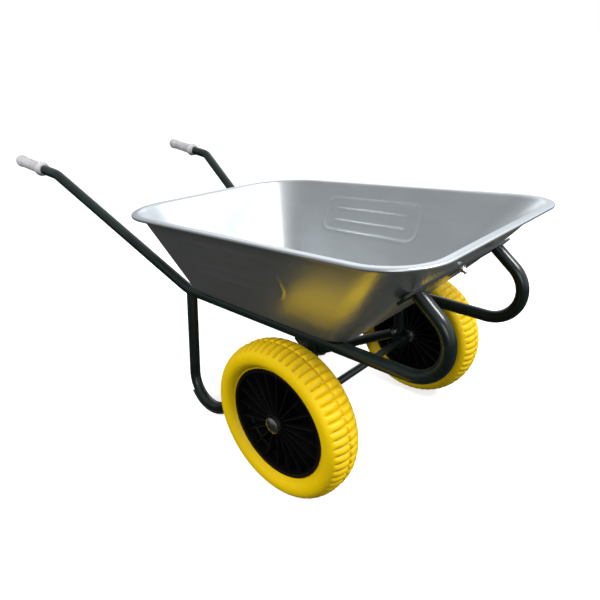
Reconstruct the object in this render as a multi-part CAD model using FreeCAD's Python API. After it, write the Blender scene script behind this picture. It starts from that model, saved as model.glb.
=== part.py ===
import FreeCAD, Part
import math
import os

# A two-wheel builder's wheelbarrow: a galvanised tray bolted to a frame of two bent tubes.
# X runs forward from the handles to the nose, Y runs to the left and Z runs up.
# The parts are laid out from the point on the ground under the middle of the axle, and
# are moved at the end so that the origin is the middle of the barrow's footprint.
# All sizes are in millimetres. "half" sizes are measured from the middle plane Y = 0.

# Frame tube
TUBE_DIAMETER = 30.0
TUBE_WALL = 1.5
RAIL_HEIGHT = 352.3            # centre of the rails above the axle
RAIL_RISE = 0.0137             # the rails climb a little towards the nose
RAIL_HALF_FRONT = 179.0        # half distance between the rails at the nose hoops
HANDLE_FOOT_X = -472.0         # corner where a rail turns up into its handle
HANDLE_FOOT_HALF = 190.0
HANDLE_FOOT_BEND = 100.0
HANDLE_BEND_X = -972.0         # corner where the handle levels out for the grip
HANDLE_BEND_HALF = 291.5
HANDLE_BEND_HEIGHT = 629.0
HANDLE_TOP_BEND = 60.0
GRIP_END_X = -1212.0
GRIP_END_HALF = 304.5
GRIP_END_HEIGHT = 652.5
HOOP_BEND = 78.0               # the nose hoop, from the rail up and back to the strap
HOOP_LEAN = 39.5               # degrees from level of the hoop's end under the strap

# Grips
GRIP_LENGTH = 165.0
GRIP_DIAMETER = 38.0
GRIP_WAIST = 35.0
GRIP_FLANGE_DIAMETER = 46.0
GRIP_FLANGE_THICKNESS = 7.0
GRIP_END_WALL = 6.0
GRIP_END_ROUND = 9.0

# Tray, pressed from one sheet
TRAY_GAUGE = 1.2
TRAY_REAR_LIP_X = -605.0       # outermost edge of the rolled rim
TRAY_FRONT_LIP_X = 336.0
TRAY_REAR_LIP_HEIGHT = 577.0
TRAY_FRONT_LIP_HEIGHT = 634.9
TRAY_REAR_LIP_HALF = 333.0
TRAY_FRONT_LIP_HALF = 355.0
TRAY_REAR_LIP_CORNER = 178.0
TRAY_FRONT_LIP_CORNER = 120.0
TRAY_FLANGE = 20.0             # from the wall out to the edge of the rolled rim
TRAY_FLOOR_REAR_X = -470.0     # where the walls would meet the floor without its radius
TRAY_FLOOR_FRONT_X = 88.0
TRAY_FLOOR_REAR_HALF = 213.0
TRAY_FLOOR_FRONT_HALF = 209.0
TRAY_FLOOR_REAR_CORNER = 84.0
TRAY_FLOOR_FRONT_CORNER = 60.0
TRAY_FLOOR_RADIUS = 25.0
NOSE_CROWN = 11.0              # how far the front wall bulges at the nose strap
CROWN_LOW = 0.50               # shares of the wall's height between which it is flat
CROWN_HIGH = 0.76
ROLL_RADIUS = 4.2              # outside of the rolled edge
RIM_WIRE_RADIUS = 2.9
WIRE_CLEARANCE = 0.1

# Nose strap, on the outside of the front wall
STRAP_WIDTH = 28.0
STRAP_THICKNESS = 5.0
STRAP_OVERHANG = 58.0          # from the tube's centre line to the strap's end
STRAP_END_ROUND = 6.0

# Legs
LEG_REAR_X = -461.0
LEG_SPLAY = 0.112              # outward run for each unit of drop
FOOT_CORNER_X = -437.0
FOOT_BEND = 84.0
KNEE_X = -6.0
KNEE_BEND = 50.0
KNEE_AXLE_GAP = 5.0
SHOE_THICKNESS = 5.0
SHOE_FLAT_DEPTH = 1.0          # ground off the shoe where it stands
SHOE_WRAP = 64.0               # degrees each side of the tube's outside
SHOE_START = 0.30              # share of the bend before the shoe starts
GUSSET_REACH_FRONT = 58.0
GUSSET_REACH_REAR = 24.0
GUSSET_DROP = 20.0             # below the rail's underside
GUSSET_THICKNESS = 4.0

# Axle, brackets and the parts on the axle
WHEEL_DIAMETER = 380.0
WHEEL_TRACK = 581.0
AXLE_DIAMETER = 20.0
AXLE_CHAMFER = 1.0
BRACKET_THICKNESS = 4.0
BRACKET_MARGIN = 9.0           # plate outside the axle and round the bolt
BRACKET_BOLT_DIAMETER = 8.0
BRACKET_BOLT_BACK = 12.0       # behind the axle
RUNNING_CLEARANCE = 0.05       # radial, axle in bush
END_PLAY = 0.4                 # along the axle, each side of a hub
WASHER_THICKNESS = 2.0
WASHER_DIAMETER = 37.0
SPACER_DIAMETER = 28.0
CAP_DIAMETER = 39.0
CAP_WALL = 1.2
CAP_SKIRT = 5.0
CAP_DOME = 6.5

# Wheel
TYRE_WIDTH = 96.0
TREAD_HALF = 34.0              # half width of the tread
TREAD_DROP = 7.2               # fall of the tread from its middle to its shoulder
TYRE_SEAT_RADIUS = 130.0
RIM_FLANGE_RADIUS = 134.0
RIM_FLANGE_THICKNESS = 3.5
RIM_HALF_WIDTH = 33.5
RIM_BARREL_WALL = 5.0
RIM_WEB_THICKNESS = 4.0
RIB_COUNT = 20
RIB_THICKNESS = 3.0
RIB_HUB_SETBACK = 6.0          # rib's edge below the hub's outer end
RIB_BARREL_SETBACK = 7.0       # rib's edge below the rim's flange
RIB_PHASE = 17.0               # degrees from straight ahead to the first rib
HUB_DIAMETER = 46.0
HUB_OUTER_REACH = 34.5         # hub's outer end from the wheel's middle
HUB_INNER_REACH = 48.0
BUSH_WALL = 3.0
BUSH_LENGTH = 22.0

# Fasteners: M8 throughout
BOLT_DIAMETER = 8.0
BOLT_HOLE_CLEARANCE = 0.25     # radial
HEX_ACROSS_FLATS = 13.0
HEX_HEAD_HEIGHT = 5.3
HEX_FACE_SHARE = 0.96          # round face left by the bevel, as a share of the flats
HEX_BEVEL_RUN = 1.45           # height where the bevel's cone has that size, in heights
NUT_HEIGHT = 6.5
SMALL_WASHER_DIAMETER = 20.0
SMALL_WASHER_THICKNESS = 1.6
CARRIAGE_HEAD_DIAMETER = 16.0
CARRIAGE_HEAD_HEIGHT = 4.0
THREAD_BEYOND_NUT = 7.0
FLOOR_BOLT_XS = (-42.0,)

# Sizes that follow
TUBE_RADIUS = TUBE_DIAMETER / 2
AXLE_HEIGHT = WHEEL_DIAMETER / 2
AXLE_RADIUS = AXLE_DIAMETER / 2
WHEEL_HALF = WHEEL_TRACK / 2
KNEE_HEIGHT = AXLE_HEIGHT + TUBE_RADIUS + AXLE_RADIUS + KNEE_AXLE_GAP
RIM_SLOPE = math.atan2(TRAY_FRONT_LIP_HEIGHT - TRAY_REAR_LIP_HEIGHT,
                       TRAY_FRONT_LIP_X - TRAY_REAR_LIP_X)
WALL_FRONT_TOP_X = TRAY_FRONT_LIP_X - TRAY_FLANGE
BOLT_RADIUS = BOLT_DIAMETER / 2
HOLE_RADIUS = BOLT_RADIUS + BOLT_HOLE_CLEARANCE

V = FreeCAD.Vector
UP = V(0, 0, 1)
LEFT = V(0, 1, 0)
FLOOR_UP = V(-RAIL_RISE, 0, 1).normalize()
ALONG = 0.9                    # an edge whose tangent has this share of Z is upright
SAME_HEIGHT = 0.01
FOOT_PASSES = 8                # steps that settle the foot bend on the ground


def rim_height(x):
    """Height of the sloping rim plane at x."""
    return TRAY_REAR_LIP_HEIGHT + (x - TRAY_REAR_LIP_X) * math.tan(RIM_SLOPE)


def rail_height(x):
    """Height of the rails' centre lines at x."""
    return RAIL_HEIGHT + x * RAIL_RISE


def floor_height(x, above=0.0):
    """Height at x of a plane laid along the tops of the rails, or above them."""
    return rail_height(x) + (TUBE_RADIUS + above) * math.sqrt(1 + RAIL_RISE ** 2)


def mirrored(shape):
    """The same piece on the other side of the barrow."""
    return shape.mirror(V(0, 0, 0), LEFT)


def both_sides(make_left):
    """Left piece and its mirror image, by side."""
    left = make_left()
    return {"left": left, "right": mirrored(left)}


# ---------------------------------------------------------------- bent tube

def ring_face(centre, direction, outer, inner):
    """Flat ring, or disc if inner is 0, square to a direction."""
    rings = [Part.Wire(Part.makeCircle(radius, centre, direction))
             for radius in (outer, inner) if radius > 0]
    return Part.makeFace(rings, "Part::FaceMakerBullseye")


def corner_arc(before, corner, after, bend):
    """Start, end, centre, axis and turn of the arc that rounds a corner of a path."""
    back = (before - corner).normalize()
    ahead = (after - corner).normalize()
    turn = math.pi - back.getAngle(ahead)
    reach = bend * math.tan(turn / 2)
    centre = corner + (back + ahead).normalize() * (bend / math.cos(turn / 2))
    axis = (back * -1).cross(ahead).normalize()
    return corner + back * reach, corner + ahead * reach, centre, axis, turn


def bent_bar(points, bends, outer, inner=0.0):
    """Round bar or tube along straight runs joined by tangent arcs."""
    runs = []
    start = points[0]
    for index, bend in enumerate(bends):
        corner = points[index + 1]
        arc_start, arc_end, centre, axis, turn = corner_arc(
            points[index], corner, points[index + 2], bend)
        heading = arc_start - start
        runs.append(ring_face(start, heading, outer, inner).extrude(heading))
        section = ring_face(arc_start, corner - arc_start, outer, inner)
        runs.append(section.revolve(centre, axis, math.degrees(turn)))
        start = arc_end
    heading = points[-1] - start
    runs.append(ring_face(start, heading, outer, inner).extrude(heading))
    return runs[0].fuse(runs[1:]).removeSplitter().Solids[0]


def half_space(point, normal, size=3000.0):
    """A large block on the side of a plane that its normal points to."""
    block = Part.makeBox(size, size, size, V(-size / 2, -size / 2, 0))
    block.Placement = FreeCAD.Placement(point, FreeCAD.Rotation(UP, normal))
    return block


# ---------------------------------------------------------------- nose strap

def strap_frame():
    """Middle of the strap's back on the front wall, the way up the wall and the way out."""
    foot = V(TRAY_FLOOR_FRONT_X, 0, floor_height(TRAY_FLOOR_FRONT_X))
    top = V(WALL_FRONT_TOP_X, 0, rim_height(WALL_FRONT_TOP_X))
    back = foot + (top - foot) * ((CROWN_LOW + CROWN_HIGH) / 2) + V(NOSE_CROWN, 0, 0)
    up_wall = (top - foot).normalize()
    return back, up_wall, LEFT.cross(up_wall).normalize()


def front_strap():
    back, up_wall, outward = strap_frame()
    half = strap_half_length()
    bar = Part.makeBox(STRAP_WIDTH, 2 * half, STRAP_THICKNESS,
                       V(-STRAP_WIDTH / 2, -half, 0))
    upright = [e for e in bar.Edges if abs(e.tangentAt(e.FirstParameter).z) > ALONG]
    bar = bar.makeFillet(STRAP_END_ROUND, upright)
    turn = FreeCAD.Rotation(up_wall, LEFT * -1, outward, "XYZ")
    bar.Placement = FreeCAD.Placement(back, turn)
    hole = Part.makeCylinder(HOLE_RADIUS, 3 * STRAP_THICKNESS,
                             back - outward * STRAP_THICKNESS, outward)
    return bar.cut(hole)


def strap_half_length():
    return RAIL_HALF_FRONT + STRAP_OVERHANG


# ---------------------------------------------------------------- main tubes

def main_path():
    """Corners of the left tube, from inside the grip to the back of the nose strap."""
    back, up_wall, outward = strap_frame()
    seat = back + outward * STRAP_THICKNESS
    lean = math.radians(HOOP_LEAN)
    reach = (seat.z - rail_height(seat.x)) / (math.tan(lean) + RAIL_RISE)
    nose_corner = V(seat.x + reach, RAIL_HALF_FRONT, rail_height(seat.x + reach))
    past_strap = V(math.cos(lean), 0, -math.sin(lean)) * (-TUBE_DIAMETER)
    tube_end = V(seat.x, RAIL_HALF_FRONT, seat.z) + past_strap
    grip_end = V(GRIP_END_X, GRIP_END_HALF, GRIP_END_HEIGHT)
    handle_bend = V(HANDLE_BEND_X, HANDLE_BEND_HALF, HANDLE_BEND_HEIGHT)
    handle_foot = V(HANDLE_FOOT_X, HANDLE_FOOT_HALF, rail_height(HANDLE_FOOT_X))
    tube_start = grip_end + (handle_bend - grip_end).normalize() * GRIP_END_WALL
    return [tube_start, handle_bend, handle_foot, nose_corner, tube_end]


MAIN_BENDS = [HANDLE_TOP_BEND, HANDLE_FOOT_BEND, HOOP_BEND]


def main_bar(inner):
    """The left tube, or its solid bar, cut off on the nose strap."""
    back, up_wall, outward = strap_frame()
    bar = bent_bar(main_path(), MAIN_BENDS, TUBE_RADIUS, inner)
    seat = back + outward * STRAP_THICKNESS + LEFT * RAIL_HALF_FRONT
    return bar.cut(half_space(seat, outward * -1, 4 * TUBE_DIAMETER))


def rail_half(x):
    """Distance of the rail's centre line from the middle plane."""
    path = main_path()
    foot, nose = path[2], path[3]
    return foot.y + (nose.y - foot.y) * (x - foot.x) / (nose.x - foot.x)


def floor_bolt_places():
    return [V(x, rail_half(x), floor_height(x)) for x in FLOOR_BOLT_XS]


def main_tube():
    tube = main_bar(TUBE_RADIUS - TUBE_WALL)
    for place in floor_bolt_places():
        drill = Part.makeCylinder(HOLE_RADIUS, 2 * TUBE_DIAMETER,
                                  place - FLOOR_UP * (1.5 * TUBE_DIAMETER), FLOOR_UP)
        tube = tube.cut(drill)
    return tube


# ---------------------------------------------------------------- grips

def grip():
    """Moulded grip pushed on the end of the handle, its closed end rounded."""
    end = V(GRIP_END_X, GRIP_END_HALF, GRIP_END_HEIGHT)
    axis = main_path()[1] - end
    outer = GRIP_DIAMETER / 2
    flange_start = GRIP_LENGTH - GRIP_FLANGE_THICKNESS
    points = {
        "end": V(0, 0, 0),
        "face": V(outer - GRIP_END_ROUND, 0, 0),
        "side": V(outer, 0, GRIP_END_ROUND),
        "waist": V(GRIP_WAIST / 2, 0, GRIP_LENGTH / 2),
        "flare": V(outer, 0, flange_start - GRIP_FLANGE_THICKNESS),
        "flange_back": V(GRIP_FLANGE_DIAMETER / 2, 0, flange_start),
        "flange_front": V(GRIP_FLANGE_DIAMETER / 2, 0, GRIP_LENGTH),
        "mouth": V(TUBE_RADIUS, 0, GRIP_LENGTH),
        "bore_end": V(TUBE_RADIUS, 0, GRIP_END_WALL),
        "bore_middle": V(0, 0, GRIP_END_WALL),
    }
    slant = math.sqrt(0.5) * GRIP_END_ROUND
    knuckle = V(outer - GRIP_END_ROUND + slant, 0, GRIP_END_ROUND - slant)
    edges = [
        Part.LineSegment(points["end"], points["face"]),
        Part.Arc(points["face"], knuckle, points["side"]),
        Part.Arc(points["side"], points["waist"], points["flare"]),
        Part.LineSegment(points["flare"], points["flange_back"]),
        Part.LineSegment(points["flange_back"], points["flange_front"]),
        Part.LineSegment(points["flange_front"], points["mouth"]),
        Part.LineSegment(points["mouth"], points["bore_end"]),
        Part.LineSegment(points["bore_end"], points["bore_middle"]),
        Part.LineSegment(points["bore_middle"], points["end"]),
    ]
    profile = Part.Face(Part.Wire([edge.toShape() for edge in edges]))
    body = profile.revolve(V(0, 0, 0), UP, 360)
    body.Placement = FreeCAD.Placement(end, FreeCAD.Rotation(UP, axis))
    return body


# ---------------------------------------------------------------- legs

def leg_half(height):
    """Distance of the leaning rear leg from the middle plane at a height."""
    return rail_half(LEG_REAR_X) + (rail_height(LEG_REAR_X) - height) * LEG_SPLAY


def leg_path():
    """Corners of the left leg hoop, its foot bend set to stand on the ground."""
    top_rear = V(LEG_REAR_X, rail_half(LEG_REAR_X), rail_height(LEG_REAR_X))
    top_front = V(KNEE_X, rail_half(KNEE_X), rail_height(KNEE_X))
    knee = V(KNEE_X, top_front.y + (top_front.z - KNEE_HEIGHT) * LEG_SPLAY, KNEE_HEIGHT)
    wanted = TUBE_RADIUS + SHOE_THICKNESS - SHOE_FLAT_DEPTH
    foot_height = 0.0
    for _ in range(FOOT_PASSES):
        foot = V(FOOT_CORNER_X, leg_half(foot_height), foot_height)
        centre, axis = corner_arc(top_rear, foot, knee, FOOT_BEND)[2:4]
        lowest = centre.z - FOOT_BEND * math.sqrt(1 - axis.z ** 2)
        foot_height += wanted - lowest
    return [top_rear, foot, knee, top_front]


LEG_BENDS = [FOOT_BEND, KNEE_BEND]


def bracket_bolt_place():
    """Where the bracket's bolt crosses the middle of the knee bend."""
    before, knee, after = leg_path()[1:]
    centre = corner_arc(before, knee, after, KNEE_BEND)[2]
    return centre + (knee - centre).normalize() * KNEE_BEND


def leg_bar(inner):
    """The left leg hoop, its ends coped to the underside of the rail."""
    bar = bent_bar(leg_path(), LEG_BENDS, TUBE_RADIUS, inner)
    coped = bar.cut(main_bar(0.0))
    return max(coped.Solids, key=lambda solid: solid.Volume)


def leg_tube():
    tube = leg_bar(TUBE_RADIUS - TUBE_WALL)
    place = bracket_bolt_place()
    drill = Part.makeCylinder(HOLE_RADIUS, 2 * TUBE_DIAMETER, place - LEFT * TUBE_DIAMETER, LEFT)
    return tube.cut(drill)


def foot_shoe():
    """Wear plate wrapped round the outside of the foot bend and ground flat below."""
    top_rear, foot, knee = leg_path()[:3]
    arc_start, arc_end, centre, axis, turn = corner_arc(top_rear, foot, knee, FOOT_BEND)
    section = ring_face(arc_start, foot - arc_start, TUBE_RADIUS + SHOE_THICKNESS, TUBE_RADIUS)
    outside = (arc_start - centre).normalize()
    along = (foot - arc_start).normalize()
    for sense in (1, -1):
        limit = FreeCAD.Rotation(along, sense * SHOE_WRAP).multVec(outside)
        normal = along.cross(limit) * sense
        section = section.cut(half_space(arc_start, normal))
    section = section.Faces[0]
    section.rotate(centre, axis, math.degrees(turn) * SHOE_START)
    plate = section.revolve(centre, axis, math.degrees(turn) * (1 - SHOE_START))
    return plate.cut(half_space(V(0, 0, 0), UP * -1)).Solids[0]


def rail_gusset():
    """Two small webs in the corners between the rail and the front upright."""
    low = rail_height(KNEE_X) - TUBE_RADIUS - GUSSET_DROP
    side = rail_half(KNEE_X) - GUSSET_THICKNESS / 2
    rear = KNEE_X - GUSSET_REACH_REAR
    front = KNEE_X + GUSSET_REACH_FRONT
    corners = [
        V(rear, side, rail_height(rear) - TUBE_RADIUS),
        V(KNEE_X - TUBE_RADIUS, side, low),
        V(KNEE_X + TUBE_RADIUS, side, low),
        V(front, side, rail_height(front) - TUBE_RADIUS),
        V(KNEE_X, side, rail_height(KNEE_X)),
    ]
    web = Part.Face(Part.makePolygon(corners + corners[:1])).extrude(LEFT * GUSSET_THICKNESS)
    return web.cut([main_bar(0.0), bent_bar(leg_path(), LEG_BENDS, TUBE_RADIUS)])


# ---------------------------------------------------------------- axle and brackets

def bracket_faces():
    """Inner and outer Y of the left bracket's two plates."""
    middle = bracket_bolt_place().y
    return middle - TUBE_RADIUS - BRACKET_THICKNESS, middle + TUBE_RADIUS + BRACKET_THICKNESS


def axle_bracket():
    """Two plates that clasp the knee of the leg and carry the axle below it."""
    bolt = bracket_bolt_place()
    inner, outer = bracket_faces()
    leg = bent_bar(leg_path(), LEG_BENDS, TUBE_RADIUS)
    plates = []
    for start in (inner, outer - BRACKET_THICKNESS):
        places = [V(bolt.x, start, bolt.z), V(0, start, AXLE_HEIGHT)]
        reach = (BRACKET_MARGIN + BOLT_RADIUS, BRACKET_MARGIN + AXLE_RADIUS)
        plate = link_plate(places, reach, BRACKET_THICKNESS)
        holes = [Part.makeCylinder(radius, BRACKET_THICKNESS, place, LEFT)
                 for place, radius in zip(places, (HOLE_RADIUS, AXLE_RADIUS))]
        plates.append(plate.cut(holes + [leg]).Solids[0])
    return Part.makeCompound(plates)


def link_plate(places, radii, thickness):
    """Plate along +Y round two bosses, with straight sides tangent to both."""
    first, second = places
    span = second - first
    along = FreeCAD.Vector(span).normalize()
    across = along.cross(LEFT)
    swing = math.asin((radii[0] - radii[1]) / span.Length)
    outline = []
    for sense in (1, -1):
        out = across * (sense * math.cos(swing)) + along * math.sin(swing)
        outline.append([place + out * radius for place, radius in zip(places, radii)])
    edges = [
        Part.LineSegment(outline[0][0], outline[0][1]),
        Part.Arc(outline[0][1], second + along * radii[1], outline[1][1]),
        Part.LineSegment(outline[1][1], outline[1][0]),
        Part.Arc(outline[1][0], first - along * radii[0], outline[0][0]),
    ]
    return Part.Face(Part.Wire([edge.toShape() for edge in edges])).extrude(LEFT * thickness)


def axle_half():
    """Half length of the axle: its end stands in the hub cap."""
    return cap_seat() + CAP_SKIRT


def axle():
    length = 2 * axle_half()
    bar = Part.makeCylinder(AXLE_RADIUS, length, V(0, -length / 2, AXLE_HEIGHT), LEFT)
    ends = [e for e in bar.Edges if e.Closed]
    return bar.makeChamfer(AXLE_CHAMFER, ends)


def hub_inner_face():
    return WHEEL_HALF - HUB_INNER_REACH


def hub_outer_face():
    return WHEEL_HALF + HUB_OUTER_REACH


def cap_seat():
    return hub_outer_face() + END_PLAY + WASHER_THICKNESS


def sleeve(start, length, outer, inner):
    """Ring on the left of the axle, from start outward."""
    return ring_face(V(0, start, AXLE_HEIGHT), LEFT, outer, inner).extrude(LEFT * length)


def axle_spacer():
    """Tube that holds the wheel clear of the bracket."""
    start = bracket_faces()[1]
    end = hub_inner_face() - END_PLAY - WASHER_THICKNESS
    return sleeve(start, end - start, SPACER_DIAMETER / 2, AXLE_RADIUS)


def inner_washer():
    start = hub_inner_face() - END_PLAY - WASHER_THICKNESS
    return sleeve(start, WASHER_THICKNESS, WASHER_DIAMETER / 2, AXLE_RADIUS)


def outer_washer():
    start = cap_seat() - WASHER_THICKNESS
    return sleeve(start, WASHER_THICKNESS, WASHER_DIAMETER / 2, AXLE_RADIUS)


def hub_cap():
    """Pressed steel cap with inner fingers that bite on the axle's end."""
    radius = CAP_DIAMETER / 2
    outside = dome(radius, CAP_SKIRT, CAP_DOME)
    hollow = dome(radius - CAP_WALL, CAP_SKIRT, CAP_DOME - CAP_WALL)
    grip_ring = ring_face(V(0, 0, 0), UP, radius - CAP_WALL / 2, AXLE_RADIUS).extrude(UP * CAP_WALL)
    cap = outside.cut(hollow).fuse(grip_ring).removeSplitter()
    cap.Placement = FreeCAD.Placement(V(0, cap_seat(), AXLE_HEIGHT), FreeCAD.Rotation(UP, LEFT))
    return cap


def dome(radius, skirt, rise):
    """Short cylinder with a shallow domed top, along Z."""
    shoulder = V(radius, 0, skirt)
    crown = V(0, 0, skirt + rise)
    bulge = (radius ** 2 + rise ** 2) / (2 * rise)
    swing = math.asin(radius / bulge) / 2
    halfway = V(bulge * math.sin(swing), 0, skirt + rise - bulge * (1 - math.cos(swing)))
    edges = [
        Part.LineSegment(V(0, 0, 0), V(radius, 0, 0)),
        Part.LineSegment(V(radius, 0, 0), shoulder),
        Part.Arc(shoulder, halfway, crown),
        Part.LineSegment(crown, V(0, 0, 0)),
    ]
    return Part.Face(Part.Wire([edge.toShape() for edge in edges])).revolve(V(0, 0, 0), UP, 360)


# ---------------------------------------------------------------- wheels

def turned(points, arcs=()):
    """Solid turned about the wheel's axis from a closed outline of (reach, radius)."""
    corners = [V(0, WHEEL_HALF + reach, AXLE_HEIGHT + radius) for reach, radius in points]
    edges = []
    for index, corner in enumerate(corners):
        after = corners[(index + 1) % len(corners)]
        if index in dict(arcs):
            reach, radius = dict(arcs)[index]
            middle = V(0, WHEEL_HALF + reach, AXLE_HEIGHT + radius)
            edges.append(Part.Arc(corner, middle, after).toShape())
        else:
            edges.append(Part.LineSegment(corner, after).toShape())
    return Part.Face(Part.Wire(edges)).revolve(V(0, 0, AXLE_HEIGHT), LEFT, 360)


def tyre():
    """Solid polyurethane tyre with a flattened tread and full sidewalls."""
    crown = WHEEL_DIAMETER / 2
    shoulder = crown - TREAD_DROP
    bead = RIM_FLANGE_RADIUS
    widest = (crown + bead) / 2
    half = TYRE_WIDTH / 2
    lip = RIM_HALF_WIDTH - RIM_FLANGE_THICKNESS
    points = [(-lip, TYRE_SEAT_RADIUS), (-lip, bead), (-RIM_HALF_WIDTH, bead),
              (-TREAD_HALF, shoulder), (TREAD_HALF, shoulder),
              (RIM_HALF_WIDTH, bead), (lip, bead), (lip, TYRE_SEAT_RADIUS)]
    arcs = {2: (-half, widest), 3: (0, crown), 4: (half, widest)}
    return turned(points, arcs)


def wheel_rim():
    """Moulded disc wheel: hub, web, barrel with two flanges, and ribs on both sides."""
    barrel = TYRE_SEAT_RADIUS - RIM_BARREL_WALL
    flange = RIM_HALF_WIDTH - RIM_FLANGE_THICKNESS
    web = RIM_WEB_THICKNESS / 2
    hub = HUB_DIAMETER / 2
    bore = AXLE_RADIUS + RUNNING_CLEARANCE + BUSH_WALL
    points = [(-HUB_INNER_REACH, bore), (-HUB_INNER_REACH, hub), (-web, hub), (-web, barrel),
              (-RIM_HALF_WIDTH, barrel), (-RIM_HALF_WIDTH, RIM_FLANGE_RADIUS),
              (-flange, RIM_FLANGE_RADIUS), (-flange, TYRE_SEAT_RADIUS),
              (flange, TYRE_SEAT_RADIUS), (flange, RIM_FLANGE_RADIUS),
              (RIM_HALF_WIDTH, RIM_FLANGE_RADIUS), (RIM_HALF_WIDTH, barrel), (web, barrel),
              (web, hub), (HUB_OUTER_REACH, hub), (HUB_OUTER_REACH, bore)]
    barrel_edge = RIM_HALF_WIDTH - RIB_BARREL_SETBACK
    rib = [(-HUB_INNER_REACH + RIB_HUB_SETBACK, hub - RIB_THICKNESS),
           (-barrel_edge, barrel + RIB_THICKNESS / 2),
           (barrel_edge, barrel + RIB_THICKNESS / 2),
           (HUB_OUTER_REACH - RIB_HUB_SETBACK, hub - RIB_THICKNESS)]
    corners = [V(-RIB_THICKNESS / 2, WHEEL_HALF + reach, AXLE_HEIGHT + radius)
               for reach, radius in rib]
    plate = Part.Face(Part.makePolygon(corners + corners[:1])).extrude(V(RIB_THICKNESS, 0, 0))
    ribs = []
    for index in range(RIB_COUNT):
        copy = plate.copy()
        angle = 90.0 - RIB_PHASE - index * 360.0 / RIB_COUNT
        copy.rotate(V(0, 0, AXLE_HEIGHT), LEFT, angle)
        ribs.append(copy)
    return turned(points).fuse(ribs).removeSplitter().Solids[0]


def hub_bush(start):
    bore = AXLE_RADIUS + RUNNING_CLEARANCE
    return sleeve(start, BUSH_LENGTH, bore + BUSH_WALL, bore)


def inner_bush():
    return hub_bush(hub_inner_face())


def outer_bush():
    return hub_bush(hub_outer_face() - BUSH_LENGTH)


# ---------------------------------------------------------------- tray

def outline(walls, corners, plane):
    """Four-sided outline with rounded corners, in a plane that leans along x.

    walls are the rear and front x and the rear and front half widths, corners the rear
    and front radii, and plane the height at the rear and at the front wall."""
    rear, front, rear_half, front_half = walls
    points = [V(rear, -rear_half, 0), V(front, -front_half, 0),
              V(front, front_half, 0), V(rear, rear_half, 0)]
    bends = [corners[0], corners[1], corners[1], corners[0]]
    arcs = [corner_arc(points[i - 1], points[i], points[(i + 1) % 4], bends[i])
            for i in range(4)]
    edges = []
    for index, (arc_start, arc_end, centre, axis, turn) in enumerate(arcs):
        outward = (points[index] - centre).normalize()
        edges.append(Part.Arc(arc_start, centre + outward * bends[index], arc_end))
        edges.append(Part.LineSegment(arc_end, arcs[(index + 1) % 4][0]))
    lean = FreeCAD.Matrix()
    lean.A31 = (plane[1] - plane[0]) / (front - rear)
    lean.A34 = plane[0] - rear * lean.A31
    flat = Part.Wire([edge.toShape() for edge in edges])
    return Part.Wire(flat.transformGeometry(lean).Edges)


def lip_outline(inset, raise_by=0.0):
    """Outline in the rim plane, inset from the outermost edge of the rolled rim."""
    rear = TRAY_REAR_LIP_X + inset
    front = TRAY_FRONT_LIP_X - inset
    return outline((rear, front, TRAY_REAR_LIP_HALF - inset, TRAY_FRONT_LIP_HALF - inset),
                   (TRAY_REAR_LIP_CORNER - inset, TRAY_FRONT_LIP_CORNER - inset),
                   (rim_height(rear) + raise_by, rim_height(front) + raise_by))


def wall_outline(share, inset, above):
    """Outline of the walls at a share of their height, inset from their outside."""
    def between(low, high):
        return low + (high - low) * share

    rear = (TRAY_FLOOR_REAR_X + inset, TRAY_REAR_LIP_X + TRAY_FLANGE + inset)
    front = (TRAY_FLOOR_FRONT_X - inset, WALL_FRONT_TOP_X - inset)
    crown = NOSE_CROWN if CROWN_LOW <= share <= CROWN_HIGH else 0.0
    walls = (between(*rear), between(*front) + crown,
             between(TRAY_FLOOR_REAR_HALF, TRAY_REAR_LIP_HALF - TRAY_FLANGE) - inset,
             between(TRAY_FLOOR_FRONT_HALF, TRAY_FRONT_LIP_HALF - TRAY_FLANGE) - inset)
    corners = (between(TRAY_FLOOR_REAR_CORNER, TRAY_REAR_LIP_CORNER - TRAY_FLANGE) - inset,
               between(TRAY_FLOOR_FRONT_CORNER, TRAY_FRONT_LIP_CORNER - TRAY_FLANGE) - inset)
    plane = (between(floor_height(rear[0], above), rim_height(rear[1])),
             between(floor_height(front[0], above), rim_height(front[1])))
    return outline(walls, corners, plane)


def tray_block(foot_inset, top_inset, above, radius):
    """Solid the shape of the tray's inside or outside."""
    sections = [wall_outline(share, foot_inset + (top_inset - foot_inset) * share, above)
                for share in (0.0, CROWN_LOW, CROWN_HIGH, 1.0)]
    block = Part.makeLoft(sections, True, True)
    low = [e for e in block.Edges
           if all(abs(v.Z - floor_height(v.X, above)) < SAME_HEIGHT for v in e.Vertexes)]
    return block.makeFillet(radius, low)


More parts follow.
